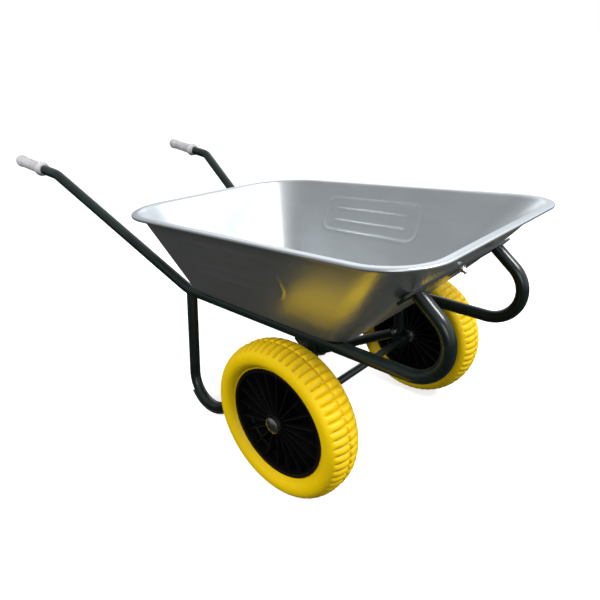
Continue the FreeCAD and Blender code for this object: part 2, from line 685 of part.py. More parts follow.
def tray():
    """One pressed sheet: floor, four sloping walls, flange and rolled edge."""
    slant = math.atan2(TRAY_FLOOR_REAR_X - TRAY_REAR_LIP_X - TRAY_FLANGE,
                       TRAY_REAR_LIP_HEIGHT - floor_height(TRAY_FLOOR_REAR_X))
    foot_inset = TRAY_GAUGE * (1 / math.cos(slant) - math.tan(slant))
    top_inset = TRAY_GAUGE / math.cos(slant)
    outside = tray_block(0.0, 0.0, 0.0, TRAY_FLOOR_RADIUS)
    inside = tray_block(foot_inset, top_inset, TRAY_GAUGE, TRAY_FLOOR_RADIUS - TRAY_GAUGE)
    flange_low = Part.Face(lip_outline(ROLL_RADIUS, -TRAY_GAUGE))
    flange = flange_low.extrude(UP * TRAY_GAUGE)
    mouth = Part.Face(lip_outline(TRAY_FLANGE + top_inset, -5 * TRAY_GAUGE)).extrude(
        UP * (10 * TRAY_GAUGE))
    sheet = outside.cut(inside).fuse(flange.cut(mouth))
    sheet = sheet.fuse(rolled_edge(ROLL_RADIUS))
    sheet = sheet.cut(rolled_edge(RIM_WIRE_RADIUS + WIRE_CLEARANCE))
    for place in floor_bolt_places():
        for y in (place.y, -place.y):
            drill = Part.makeCylinder(HOLE_RADIUS, 4 * TRAY_GAUGE,
                                      V(place.x, y, place.z) - FLOOR_UP * TRAY_GAUGE, FLOOR_UP)
            sheet = sheet.cut(drill)
    back, up_wall, outward = strap_frame()
    sheet = sheet.cut(Part.makeCylinder(HOLE_RADIUS, 6 * TRAY_GAUGE,
                                        back - outward * 3 * TRAY_GAUGE, outward))
    return sheet.removeSplitter()


def rolled_edge(radius):
    """Ring of round section that follows the rim, just under the flange's top face."""
    path = lip_outline(ROLL_RADIUS, -ROLL_RADIUS)
    start = path.Edges[0].valueAt(path.Edges[0].FirstParameter)
    along = path.Edges[0].tangentAt(path.Edges[0].FirstParameter)
    section = Part.Wire(Part.makeCircle(radius, start, along))
    return path.makePipeShell([section], True, False)


def rim_wire():
    return rolled_edge(RIM_WIRE_RADIUS)


# ---------------------------------------------------------------- fasteners
# Each is made along +Z from the face it bears on, then turned to its place.

def placed(shape, point, direction):
    copy = shape.copy()
    copy.Placement = FreeCAD.Placement(point, FreeCAD.Rotation(UP, direction))
    return copy


def hexagon(height):
    radius = HEX_ACROSS_FLATS / math.sqrt(3)
    corners = [V(radius * math.cos(math.radians(60 * i)), radius * math.sin(math.radians(60 * i)), 0)
               for i in range(7)]
    prism = Part.Face(Part.makePolygon(corners)).extrude(UP * height)
    bevel = Part.makeCone(radius + height, HEX_FACE_SHARE * HEX_ACROSS_FLATS / 2,
                          HEX_BEVEL_RUN * height)
    return prism.common(bevel)


def hex_bolt(grip_length):
    """Head above the bearing face, shank below it."""
    shank = Part.makeCylinder(BOLT_RADIUS, grip_length, V(0, 0, -grip_length))
    return hexagon(HEX_HEAD_HEIGHT).fuse(shank).removeSplitter()


def carriage_bolt(grip_length):
    """Low domed head above the bearing face, shank below it."""
    radius = CARRIAGE_HEAD_DIAMETER / 2
    head = dome(radius, CARRIAGE_HEAD_HEIGHT / 4, CARRIAGE_HEAD_HEIGHT * 3 / 4)
    shank = Part.makeCylinder(BOLT_RADIUS, grip_length, V(0, 0, -grip_length))
    return head.fuse(shank).removeSplitter()


def hex_nut():
    return hexagon(NUT_HEIGHT).cut(Part.makeCylinder(BOLT_RADIUS, NUT_HEIGHT))


def small_washer():
    return ring_face(V(0, 0, 0), UP, SMALL_WASHER_DIAMETER / 2, BOLT_RADIUS).extrude(
        UP * SMALL_WASHER_THICKNESS)


def floor_fasteners():
    """Bolts through the tray's floor and the rails: heads inside, nuts under the rail."""
    reach = TRAY_GAUGE + TUBE_DIAMETER + SMALL_WASHER_THICKNESS + NUT_HEIGHT + THREAD_BEYOND_NUT
    saddle = main_bar(0.0)
    groups = {"floor_bolts": [], "floor_washers": [], "floor_nuts": []}
    for place in floor_bolt_places():
        head = place + FLOOR_UP * TRAY_GAUGE
        under = place - FLOOR_UP * TUBE_DIAMETER
        nut = under - FLOOR_UP * SMALL_WASHER_THICKNESS
        groups["floor_bolts"].append(placed(carriage_bolt(reach), head, FLOOR_UP))
        groups["floor_washers"].append(placed(small_washer(), under, FLOOR_UP * -1))
        groups["floor_nuts"].append(placed(hex_nut(), nut, FLOOR_UP * -1))
    groups["floor_washers"] = [washer.cut(saddle) for washer in groups["floor_washers"]]
    return {name: Part.makeCompound(solids + [mirrored(solid) for solid in solids])
            for name, solids in groups.items()}


def nose_fasteners():
    """One bolt through the front wall and the strap, its head inside the tray."""
    back, up_wall, outward = strap_frame()
    reach = TRAY_GAUGE + STRAP_THICKNESS + SMALL_WASHER_THICKNESS + NUT_HEIGHT + THREAD_BEYOND_NUT
    inner = back - outward * TRAY_GAUGE
    outer = back + outward * STRAP_THICKNESS
    return {
        "nose_bolt": placed(carriage_bolt(reach), inner, outward * -1),
        "nose_washer": placed(small_washer(), outer, outward),
        "nose_nut": placed(hex_nut(), outer + outward * SMALL_WASHER_THICKNESS, outward),
    }


def bracket_fasteners():
    """A bolt across each knee: head on the inside, nut towards the wheel."""
    place = bracket_bolt_place()
    inner, outer = bracket_faces()
    reach = outer - inner + NUT_HEIGHT + THREAD_BEYOND_NUT / 2
    bolt = placed(hex_bolt(reach), V(place.x, inner, place.z), LEFT * -1)
    nut = placed(hex_nut(), V(place.x, outer, place.z), LEFT)
    return {"bracket_bolts": Part.makeCompound([bolt, mirrored(bolt)]),
            "bracket_nuts": Part.makeCompound([nut, mirrored(nut)])}


# ---------------------------------------------------------------- assembly

PAIRED = {
    "main_tube": main_tube, "grip": grip, "leg_tube": leg_tube, "foot_shoe": foot_shoe,
    "rail_gusset": rail_gusset, "axle_bracket": axle_bracket, "axle_spacer": axle_spacer,
    "inner_washer": inner_washer, "outer_washer": outer_washer, "hub_cap": hub_cap,
    "tyre": tyre, "wheel_rim": wheel_rim, "inner_bush": inner_bush, "outer_bush": outer_bush,
}


def assembly():
    nodes = {"tray": tray(), "rim_wire": rim_wire(), "front_strap": front_strap(), "axle": axle()}
    for group in (floor_fasteners(), nose_fasteners(), bracket_fasteners()):
        nodes.update(group)
    for name, make in PAIRED.items():
        for side, shape in both_sides(make).items():
            nodes[side + "_" + name] = shape
    return nodes


def footprint_shift(nodes):
    """From the axle to the middle of the barrow's length, grips to nose hoops."""
    ends = [nodes[name].optimalBoundingBox(False, False)
            for name in ("left_grip", "left_main_tube", "tray")]
    rear = min(box.XMin for box in ends)
    front = max(box.XMax for box in ends)
    return V(-(rear + front) / 2, 0, 0)


os.makedirs("parts", exist_ok=True)
barrow = assembly()
shift = footprint_shift(barrow)
print("axle at x =", round(shift.x, 3), "z =", AXLE_HEIGHT)
for node, shape in barrow.items():
    shape.translate(shift)
    shape.exportStep(os.path.join("parts", node + ".step"))
    print(node, len(shape.Solids), "valid" if shape.isValid() else "INVALID",
          round(shape.Volume / 1000, 2), "cm3")
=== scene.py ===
import bmesh
import bpy
import math
from mathutils import Matrix, Vector


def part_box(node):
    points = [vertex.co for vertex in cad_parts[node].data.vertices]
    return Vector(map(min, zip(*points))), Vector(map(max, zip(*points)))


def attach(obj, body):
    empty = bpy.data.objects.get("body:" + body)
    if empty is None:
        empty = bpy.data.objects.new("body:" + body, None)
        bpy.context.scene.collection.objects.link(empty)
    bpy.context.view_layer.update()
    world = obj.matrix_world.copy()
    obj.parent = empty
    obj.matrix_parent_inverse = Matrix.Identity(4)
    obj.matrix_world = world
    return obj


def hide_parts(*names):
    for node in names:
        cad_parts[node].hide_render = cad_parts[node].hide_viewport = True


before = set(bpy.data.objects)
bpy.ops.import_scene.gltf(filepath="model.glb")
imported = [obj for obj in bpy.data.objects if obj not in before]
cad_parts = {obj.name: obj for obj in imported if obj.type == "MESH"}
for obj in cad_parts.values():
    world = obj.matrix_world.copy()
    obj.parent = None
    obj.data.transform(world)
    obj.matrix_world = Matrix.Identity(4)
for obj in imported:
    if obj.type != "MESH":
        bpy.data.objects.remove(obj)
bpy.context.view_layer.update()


# ---- Frame tubes -------------------------------------------------------------------
# Two long tubes, each one handle, one rail under the tray and one hoop at the nose.
# They are bent from 30 mm steel tube and powder coated a very dark glossy green.

class Wire:
    """The output of a shader node. Arithmetic on it adds Math nodes."""

    def __init__(self, finish, socket):
        self.finish = finish
        self.socket = socket

    def maths(self, operation, first, second):
        return self.finish.node("ShaderNodeMath", {"operation": operation}, {0: first, 1: second})

    def __add__(self, other):
        return self.maths("ADD", self, other)

    def __mul__(self, other):
        return self.maths("MULTIPLY", self, other)

    __radd__ = __add__
    __rmul__ = __mul__


class Finish:
    """A material on one Principled shader; its patterns lie on Object coordinates."""

    def __init__(self, name, **constants):
        self.material = bpy.data.materials.new(name)
        self.material.use_nodes = True
        self.tree = self.material.node_tree
        self.shader = self.tree.nodes["Principled BSDF"]
        for socket, value in constants.items():
            self.shader.inputs[socket.replace("_", " ")].default_value = value
        self.place = self.node("ShaderNodeTexCoord", output="Object")

    def node(self, kind, settings=None, sockets=None, output=0):
        made = self.tree.nodes.new(kind)
        for key, value in (settings or {}).items():
            if key == "stops":
                ramp = made.color_ramp.elements
                while len(ramp) < len(value):
                    ramp.new(0.5)
                for stop, (position, colour) in zip(ramp, value):
                    stop.position = position
                    stop.color = colour
            else:
                setattr(made, key, value)
        for key, value in (sockets or {}).items():
            if isinstance(value, Wire):
                self.tree.links.new(value.socket, made.inputs[key])
            else:
                made.inputs[key].default_value = value
        return Wire(self, made.outputs[output])

    def feed(self, socket, wire):
        self.tree.links.new(wire.socket, self.shader.inputs[socket])

    def noise(self, scale, detail=3.0, roughness=0.5, place=None):
        return self.node("ShaderNodeTexNoise", None, {
            "Vector": place or self.place, "Scale": scale, "Detail": detail,
            "Roughness": roughness})

    def stretched(self, x, y, z):
        return self.node("ShaderNodeVectorMath", {"operation": "MULTIPLY"},
                         {0: self.place, 1: (x, y, z)})

    def ramp(self, factor, *stops):
        return self.node("ShaderNodeValToRGB", {"stops": stops}, {"Fac": factor})

    def mix(self, factor, first, second):
        return self.node("ShaderNodeMix", {"data_type": "RGBA"},
                         {0: factor, 6: first, 7: second}, output=2)

    def relief(self, height, depth, strength=1.0):
        self.feed("Normal", self.node("ShaderNodeBump", None, {
            "Height": height, "Distance": depth, "Strength": strength}))


def grey(value):
    return (value, value, value, 1.0)


def shell_mesh(name, points, faces):
    """A mesh from points and faces, smooth, its faces turned outwards."""
    mesh = bpy.data.meshes.new(name)
    mesh.from_pydata([tuple(point) for point in points], [], faces)
    mesh.validate()
    shape = bmesh.new()
    shape.from_mesh(mesh)
    bmesh.ops.remove_doubles(shape, verts=shape.verts, dist=MERGE)
    bmesh.ops.recalc_face_normals(shape, faces=shape.faces)
    shape.to_mesh(mesh)
    shape.free()
    mesh.shade_smooth()
    mesh.set_sharp_from_angle(angle=math.radians(SHARP_DEGREES))
    return mesh


def loft(rows, columns, closed_rows=False):
    """Quads between rows of points; every row is a closed ring of that many points."""
    faces = []
    for row in range(rows if closed_rows else rows - 1):
        after = (row + 1) % rows
        for column in range(columns):
            beside = (column + 1) % columns
            faces.append((row * columns + column, row * columns + beside,
                          after * columns + beside, after * columns + column))
    return faces


def show(name, mesh, finish, body, slot, *nodes):
    """A finished piece: its material, its body and the CAD nodes it stands for, which it hides. The slot is
    not used.
    """
    piece = bpy.data.objects.new(name, mesh)
    bpy.context.scene.collection.objects.link(piece)
    mesh.materials.clear()
    mesh.materials.append(finish.material)
    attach(piece, body)
    if nodes:
        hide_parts(*nodes)
    return piece


def coat(finish, *nodes):
    """Gives CAD nodes that keep their own shape a finish."""
    for node in nodes:
        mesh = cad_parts[node].data
        for place in range(len(mesh.materials)):
            mesh.materials[place] = finish.material


def mirrored(points):
    return [Vector((point.x, -point.y, point.z)) for point in points]


def placed(points):
    """Points laid out from the axle, moved to their place over the ground."""
    return [Vector(point) + Vector((AXLE_X, 0.0, 0.0)) for point in points]


def bent_line(corners, bends, step):
    """Points along straight runs joined by tangent arcs."""
    line = [corners[0]]
    for before, corner, after, bend in zip(corners, corners[1:], corners[2:], bends):
        back = (before - corner).normalized()
        ahead = (after - corner).normalized()
        turn = math.pi - back.angle(ahead)
        reach = bend * math.tan(turn / 2)
        centre = corner + (back + ahead).normalized() * (bend / math.cos(turn / 2))
        start = corner + back * reach - centre
        axis = (-back).cross(ahead).normalized()
        steps = max(2, math.ceil(turn / step))
        for index in range(steps + 1):
            line.append(centre + Matrix.Rotation(turn * index / steps, 3, axis) @ start)
    line.append(corners[-1])
    return line


def tube_mesh(name, corners, bends, radius):
    """A round tube along a bent line, closed at both ends."""
    line = bent_line(corners, bends, math.radians(TUBE_STEP_DEGREES))
    heading = (line[1] - line[0]).normalized()
    across = heading.orthogonal().normalized()
    points = []
    for index, point in enumerate(line):
        before = line[max(index - 1, 0)]
        after = line[min(index + 1, len(line) - 1)]
        ahead = ((point - before).normalized() + (after - point).normalized()).normalized()
        across = (across - ahead * across.dot(ahead)).normalized()
        other = ahead.cross(across)
        for side in range(TUBE_SIDES):
            angle = math.tau * side / TUBE_SIDES
            points.append(point + across * (radius * math.cos(angle))
                          + other * (radius * math.sin(angle)))
    faces = loft(len(line), TUBE_SIDES)
    faces.append(tuple(range(TUBE_SIDES)))
    faces.append(tuple(len(points) - TUBE_SIDES + side for side in range(TUBE_SIDES)))
    return shell_mesh(name, points, faces)


MERGE = 1e-6
SHARP_DEGREES = 35.0
TUBE_SIDES = 40
TUBE_STEP_DEGREES = 4.0
TUBE_RADIUS = 0.015
BOTH = (("left", 1), ("right", -1))
low_end, high_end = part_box("axle")
AXLE_X = (low_end[0] + high_end[0]) / 2
AXLE_Z = (low_end[2] + high_end[2]) / 2

frame_paint = Finish("dark green powder coat", Roughness=0.30, Coat_Weight=0.35,
                     Coat_Roughness=0.14)
dirt = frame_paint.noise(14.0, 5.0, 0.6)
frame_paint.feed("Base Color", frame_paint.ramp(
    dirt, (0.35, (0.004, 0.009, 0.008, 1.0)), (0.75, (0.009, 0.020, 0.016, 1.0))))
frame_paint.feed("Roughness", frame_paint.noise(60.0, 4.0) * 0.16 + 0.22)
frame_paint.relief(frame_paint.noise(420.0, 2.0), 0.0003, 0.35)

MAIN_CORNERS = placed(((-1.206, 0.30418, 0.65192), (-0.972, 0.2915, 0.629),
                       (-0.472, 0.190, 0.34583), (0.4567, 0.179, 0.35856),
                       (0.24646, 0.179, 0.53186)))
MAIN_BENDS = (0.060, 0.100, 0.078)
for side, sense in BOTH:
    corners = MAIN_CORNERS if sense > 0 else mirrored(MAIN_CORNERS)
    show(side + "_frame_tube", tube_mesh(side + " frame tube", corners, MAIN_BENDS, TUBE_RADIUS),
         frame_paint, "frame", "frame_paint", side + "_main_tube")


# ---- Legs --------------------------------------------------------------------------
# A hoop of the same tube on each side, welded under the handle and under the rail. It
# stands on a bend at the foot, and its front end comes down to a knee over the axle.

LEG_CORNERS = placed(((-0.461, 0.18987, 0.34598), (-0.437, 0.2332, -0.04086),
                      (-0.006, 0.19929, 0.220), (-0.006, 0.18448, 0.35222)))
LEG_BENDS = (0.084, 0.050)
for side, sense in BOTH:
    corners = LEG_CORNERS if sense > 0 else mirrored(LEG_CORNERS)
    show(side + "_leg", tube_mesh(side + " leg", corners, LEG_BENDS, TUBE_RADIUS),
         frame_paint, "frame", "frame_paint", side + "_leg_tube")
    coat(frame_paint, side + "_foot_shoe", side + "_rail_gusset", side + "_axle_bracket",
         side + "_axle_spacer")
coat(frame_paint, "front_strap", "axle")


# ---- Grips -------------------------------------------------------------------------
# White moulded plastic, pushed on the handles. Each has a rounded closed end, a waist,
# a guard flange before the hand and a short collar where the tube goes in.

def turned_mesh(name, profile, sides, frame_axes):
    """A body turned from (radius, reach) points that start and end on the axis."""
    origin, along, across = frame_axes
    other = along.cross(across)
    points = []
    for radius, reach in profile:
        for side in range(sides):
            angle = math.tau * side / sides
            points.append(origin + along * reach + across * (radius * math.cos(angle))
                          + other * (radius * math.sin(angle)))
    return shell_mesh(name, points, loft(len(profile), sides))


grip_plastic = Finish("white grip plastic", Roughness=0.42, Coat_Weight=0.15)
scuff = grip_plastic.noise(45.0, 6.0, 0.65)
grip_plastic.feed("Base Color", grip_plastic.ramp(
    scuff, (0.30, (0.40, 0.39, 0.40, 1.0)), (0.62, (0.60, 0.59, 0.60, 1.0))))
grip_plastic.feed("Roughness", scuff * 0.25 + 0.30)
grip_plastic.relief(grip_plastic.noise(500.0, 2.0), 0.0004, 0.3)
GRIP_PROFILE = (
    (0.0, 0.0), (0.008, 0.0003), (0.0135, 0.0022), (0.0172, 0.0060), (0.0188, 0.0110),
    (0.0190, 0.0165), (0.0186, 0.0230), (0.0178, 0.0270), (0.0174, 0.0310), (0.0172, 0.0500),
    (0.0173, 0.0800), (0.0176, 0.1100), (0.0181, 0.1260), (0.0188, 0.1340), (0.0204, 0.1385),
    (0.0224, 0.1405), (0.0230, 0.1425), (0.0230, 0.1465), (0.0224, 0.1490), (0.0204, 0.1502),
    (0.0188, 0.1515), (0.0184, 0.1545), (0.0184, 0.1630), (0.0180, 0.1648), (0.0150, 0.1650),
    (0.0, 0.1640))
GRIP_END = placed(((-1.212, 0.3045, 0.6525),))[0]
for side, sense in BOTH:
    end, bend = (GRIP_END, MAIN_CORNERS[1]) if sense > 0 else mirrored((GRIP_END, MAIN_CORNERS[1]))
    along = (bend - end).normalized()
    show(side + "_handle_grip",
         turned_mesh(side + " grip", GRIP_PROFILE, 48, (end, along, along.orthogonal().normalized())),
         grip_plastic, "frame", "grip_plastic", side + "_grip")


# ---- Tray --------------------------------------------------------------------------
# One sheet of galvanised steel, pressed with a flat floor, four sloping walls and a
# flange whose edge is rolled over a wire. Each side wall has a pressed panel outline.

TRAY_GAUGE = 0.0012
RAIL_RISE = 0.0137
FLOOR_REST = 0.3673
LIP_REAR, LIP_FRONT = -0.605, 0.336
LIP = (LIP_REAR, LIP_FRONT, 0.333, 0.355, 0.178, 0.120)
LIP_REAR_HEIGHT, LIP_FRONT_HEIGHT = 0.577, 0.6349
FLANGE = 0.020
FOOT = (-0.470, 0.088, 0.213, 0.209, 0.084, 0.060)
MOUTH = (LIP_REAR + FLANGE, *(size - FLANGE for size in LIP[1:]))
FLOOR_RINGS = (0.2000, 0.1700, 0.1300, 0.0900, 0.0600)
FLOOR_RADIUS, FILLET_STEPS, FILLET_SLOPE_SHARE = 0.0238, 9, 0.02
WALL_START, WALL_END, WALL_STEPS = 0.115, 0.972, 46
FLANGE_BEND_END, FLANGE_BEND_STEPS, FLANGE_MIDDLE = 0.0155, 6, 0.0100
NOSE_CROWN = 0.011
CROWN_LOW, CROWN_HIGH = 0.50, 0.76
CROWN_FULL, CROWN_HALF, CROWN_REACH = 0.200, 0.285, 0.020
ROLL, ROLL_DEGREES, ROLL_STEPS = 0.0042, 300, 14
SIDE_STEPS, END_STEPS, CORNER_STEPS = 140, 40, 18
TIGHTEST_BEND = 0.004
PANEL_X, PANEL_SHARE = -0.185, 0.60
PANEL_HALF, PANEL_RISE, WALL_HEIGHT = 0.168, 0.048, 0.240
PANEL_CORNER = 0.030
BEAD_HALF, BEAD_DEPTH = 0.0055, 0.0026
BAR_LENGTH_SHARE, BAR_RISE_SHARE = 0.72, 0.36
SIDE_WALL_HALF = 0.15


def rim_height(x):
    share = (x - LIP_REAR) / (LIP_FRONT - LIP_REAR)
    return LIP_REAR_HEIGHT + (LIP_FRONT_HEIGHT - LIP_REAR_HEIGHT) * share


def floor_height(x):
    return FLOOR_REST + TRAY_GAUGE + RAIL_RISE * x


def outline(sizes, inset):
    """Points round the tray at one level; sizes are its rear, front, halves and corners."""
    rear, front, rear_half, front_half, rear_bend, front_bend = sizes
    rear, front = rear + inset, front - inset
    corners = [Vector((rear, -rear_half + inset)), Vector((front, -front_half + inset)),
               Vector((front, front_half - inset)), Vector((rear, rear_half - inset))]
    bends = [max(bend - inset, TIGHTEST_BEND) for bend in (rear_bend, front_bend, front_bend, rear_bend)]
    arcs = []
    for index, corner in enumerate(corners):
        back = (corners[index - 1] - corner).normalized()
        ahead = (corners[(index + 1) % 4] - corner).normalized()
        turn = math.pi - back.angle(ahead)
        centre = corner + (back + ahead).normalized() * (bends[index] / math.cos(turn / 2))
        start = corner + back * (bends[index] * math.tan(turn / 2)) - centre
        arcs.append([centre + Matrix.Rotation(turn * step / CORNER_STEPS, 2) @ start
                     for step in range(CORNER_STEPS + 1)])
    points = []
    for index, arc in enumerate(arcs):
        points += arc
        after = arcs[(index + 1) % 4][0]
        steps = SIDE_STEPS if index in (0, 2) else END_STEPS
        points += [arc[-1].lerp(after, step / steps) for step in range(1, steps)]
    return points


def smooth_step(value):
    value = min(max(value, 0.0), 1.0)
    return value * value * (3 - 2 * value)


def crown(share):
    """How far the front wall bulges at a share of its height."""
    return NOSE_CROWN * smooth_step(share / CROWN_LOW) * smooth_step(
        (1 - share) / (1 - CROWN_HIGH))


def bead_height(distance):
    return BEAD_DEPTH * math.cos(min(abs(distance) / BEAD_HALF, 1.0) * math.pi / 2) ** 2


def panel_bead(x, share):
    """Depth of the pressed outline and its two inner bars at a place on a side wall."""
    u = abs(x - PANEL_X)
    v = (share - PANEL_SHARE) * WALL_HEIGHT
    reach = Vector((max(u - PANEL_HALF + PANEL_CORNER, 0.0),
                    max(abs(v) - PANEL_RISE + PANEL_CORNER, 0.0)))
    edge = reach.length - PANEL_CORNER
    bar = Vector((max(u - PANEL_HALF * BAR_LENGTH_SHARE, 0.0), abs(v) - PANEL_RISE * BAR_RISE_SHARE)).length
    return max(bead_height(edge), bead_height(bar))


def wall_level(share):
    """Outline of the inner face of the walls at a share of their height."""
    sizes = [low + (high - low) * share for low, high in zip(FOOT, MOUTH)]
    flat = outline(sizes, TRAY_GAUGE)
    rear, front = sizes[0], sizes[1]
    low = floor_height(FOOT[0]) * (1 - share) + rim_height(MOUTH[0]) * share
    high = floor_height(FOOT[1]) * (1 - share) + rim_height(MOUTH[1]) * share
    points = []
    for point in flat:
        height = low + (high - low) * (point.x - rear) / (front - rear)
        ahead = smooth_step((point.x - front + CROWN_REACH) / CROWN_REACH)
        bulge = crown(share) * ahead * (1 - smooth_step(
            (abs(point.y) - CROWN_FULL) / (CROWN_HALF - CROWN_FULL)))
        points.append(Vector((point.x + bulge, point.y, height)))
    for index in range(len(points)):
        before, after = points[index - 1], points[(index + 1) % len(points)]
        along = (after - before).normalized()
        if abs(along.x) > 0.9 and abs(points[index].y) > SIDE_WALL_HALF:
            points[index].y += math.copysign(panel_bead(points[index].x, share), points[index].y)
    return points


def rounded(start, corner, end, steps, include_start=True):
    """Points round a corner on a circle's arc, from start to end."""
    weight = math.cos((math.pi - (start - corner).angle(end - corner)) / 2)
    points = []
    for step in range(0 if include_start else 1, steps + 1):
        t = step / steps
        a, b, c = (1 - t) ** 2, 2 * weight * t * (1 - t), t * t
        points.append((start * a + corner * b + end * c) / (a + b + c))
    return points


def tray_rows():
    """Rings of points over the tray's upper face, from the floor's middle to the roll."""
    rows = []
    for inset in FLOOR_RINGS:
        rows.append([Vector((p.x, p.y, floor_height(p.x))) for p in outline(FOOT, inset)])
    fillets = []
    for corner, up, inward in zip(wall_level(0.0), wall_level(FILLET_SLOPE_SHARE), rows[-1]):
        wall = (up - corner).normalized()
        floor = (inward - corner).normalized()
        reach = FLOOR_RADIUS * math.tan((math.pi - wall.angle(floor)) / 2)
        fillets.append(rounded(corner + floor * reach, corner, corner + wall * reach,
                               FILLET_STEPS))
    rows += [list(row) for row in zip(*fillets)]
    for step in range(WALL_STEPS + 1):
        rows.append(wall_level(WALL_START + (WALL_END - WALL_START) * step / WALL_STEPS))
    bends = [rounded(low, corner, out, FLANGE_BEND_STEPS, False)
             for low, corner, out in zip(rows[-1], lip_level(FLANGE + TRAY_GAUGE, 0.0),
                                         lip_level(FLANGE_BEND_END, 0.0))]
    rows += [list(row) for row in zip(*bends)]
    rows.append(lip_level(FLANGE_MIDDLE, 0.0))
    for step in range(ROLL_STEPS + 1):
        angle = math.radians(90 - ROLL_DEGREES * step / ROLL_STEPS)
        rows.append(lip_level(ROLL - ROLL * math.cos(angle), ROLL * math.sin(angle) - ROLL))
    return rows


def lip_level(inset, above):
    """Outline in the rim's plane, inset from the outermost edge of the roll."""
    return [Vector((p.x, p.y, rim_height(p.x) + above)) for p in outline(LIP, inset)]


def tray_mesh():
    """The upper face of the sheet; its gauge is added underneath."""
    rows = tray_rows()
    count = len(rows[0])
    points = placed([point for row in rows for point in row])
    faces = loft(len(rows), count)
    faces.append(tuple(reversed(range(count))))
    mesh = bpy.data.meshes.new("tray sheet")
    mesh.from_pydata([tuple(point) for point in points], [], faces)
    mesh.flip_normals()
    mesh.shade_smooth()
    return mesh


zinc = Finish("galvanised sheet", Metallic=0.94, Roughness=0.28)
spangle = zinc.node("ShaderNodeTexVoronoi", {"feature": "SMOOTH_F1"},
                    {"Vector": zinc.place, "Scale": 75.0}, output="Distance")
streak = zinc.noise(7.0, 4.0, 0.55, zinc.stretched(1.0, 2.0, 5.0))
cloud = zinc.noise(3.2, 3.0)
zinc.feed("Base Color", zinc.ramp(
    cloud * 0.60 + streak * 0.30 + spangle * 0.10,
    (0.30, (0.74, 0.78, 0.80, 1.0)), (0.66, (0.84, 0.87, 0.89, 1.0))))
zinc.feed("Roughness", streak * 0.10 + cloud * 0.14 + spangle * 0.03 + 0.20)
zinc.relief(zinc.noise(2.2, 2.0), 0.005, 0.30)

tray = tray_mesh()
tray_piece = show("tray_sheet", tray, zinc, "frame", "tray_sheet", "tray", "rim_wire")
thickness = tray_piece.modifiers.new("gauge", "SOLIDIFY")
thickness.thickness = TRAY_GAUGE
thickness.offset = -1.0


# ---- Fasteners ---------------------------------------------------------------------
# Zinc plated M8 bolts, nuts and washers: two through the floor and the rails, one
# through the front wall and the strap, and one across each axle bracket.

plated = Finish("zinc plated steel", Metallic=1.0, Roughness=0.3)
plated.feed("Base Color", plated.ramp(
    plated.noise(90.0, 4.0), (0.3, (0.62, 0.62, 0.60, 1.0)), (0.7, (0.86, 0.86, 0.84, 1.0))))
plated.feed("Roughness", plated.noise(200.0, 3.0) * 0.25 + 0.28)
coat(plated, "floor_bolts", "floor_washers", "floor_nuts", "nose_bolt", "nose_washer",
     "nose_nut", "bracket_bolts", "bracket_nuts")


# ---- Wheels ------------------------------------------------------------------------
# Black moulded disc wheels with thin radial ribs, turning on bushes, and solid yellow
# polyurethane tyres moulded with two rows of rounded lugs and a groove between them.

def ring_of_copies():
    """A tree that repeats a mesh about the wheel's axis, welds it and gives it a finish."""
    tree = bpy.data.node_groups.new("ring of copies", "GeometryNodeTree")
    face = tree.interface
    face.new_socket("Copy", in_out="INPUT", socket_type="NodeSocketGeometry")
    for name, kind in (("Count", "Int"), ("Phase", "Float"), ("Centre", "Vector"),
                       ("Weld", "Float"), ("Finish", "Material")):
        face.new_socket(name, in_out="INPUT", socket_type="NodeSocket" + kind)
    face.new_socket("Ring", in_out="OUTPUT", socket_type="NodeSocketGeometry")
    make, link = tree.nodes.new, tree.links.new
    given, result = make("NodeGroupInput"), make("NodeGroupOutput")
    spots, index = make("GeometryNodePoints"), make("GeometryNodeInputIndex")
    share, angle = make("ShaderNodeMath"), make("ShaderNodeMath")
    turn, copies = make("ShaderNodeCombineXYZ"), make("GeometryNodeInstanceOnPoints")
    real, weld = make("GeometryNodeRealizeInstances"), make("GeometryNodeMergeByDistance")
    finish = make("GeometryNodeSetMaterial")
    share.operation, angle.operation = "DIVIDE", "MULTIPLY_ADD"
    angle.inputs[1].default_value = math.tau
    link(given.outputs["Count"], spots.inputs["Count"])
    link(given.outputs["Centre"], spots.inputs["Position"])
    link(index.outputs[0], share.inputs[0])
    link(given.outputs["Count"], share.inputs[1])
    link(share.outputs[0], angle.inputs[0])
    link(given.outputs["Phase"], angle.inputs[2])
    link(angle.outputs[0], turn.inputs["Y"])
    link(spots.outputs[0], copies.inputs["Points"])
    link(given.outputs["Copy"], copies.inputs["Instance"])
    link(turn.outputs[0], copies.inputs["Rotation"])
    link(copies.outputs[0], real.inputs[0])
    link(real.outputs[0], weld.inputs["Geometry"])
    link(given.outputs["Weld"], weld.inputs["Distance"])
    link(weld.outputs[0], finish.inputs["Geometry"])
    link(given.outputs["Finish"], finish.inputs["Material"])
    link(finish.outputs[0], result.inputs[0])
    return tree


wheel_ring = ring_of_copies()


def repeated(name, copy, finish, **inputs):
    """The copy repeated round a wheel's axis, as one plain mesh."""
    holder = bpy.data.objects.new(name, copy)
    bpy.context.scene.collection.objects.link(holder)
    ring = holder.modifiers.new("ring", "NODES")
    ring.node_group = wheel_ring
    inputs["Finish"] = finish.material
    for socket in wheel_ring.interface.items_tree:
        if socket.in_out == "INPUT" and socket.name in inputs:
            ring[socket.identifier] = inputs[socket.name]
    sight = bpy.context.evaluated_depsgraph_get()
    mesh = bpy.data.meshes.new_from_object(holder.evaluated_get(sight))
    bpy.data.objects.remove(holder)
    mesh.name = name
    mesh.shade_smooth()
    mesh.set_sharp_from_angle(angle=math.radians(SHARP_DEGREES))
    return mesh


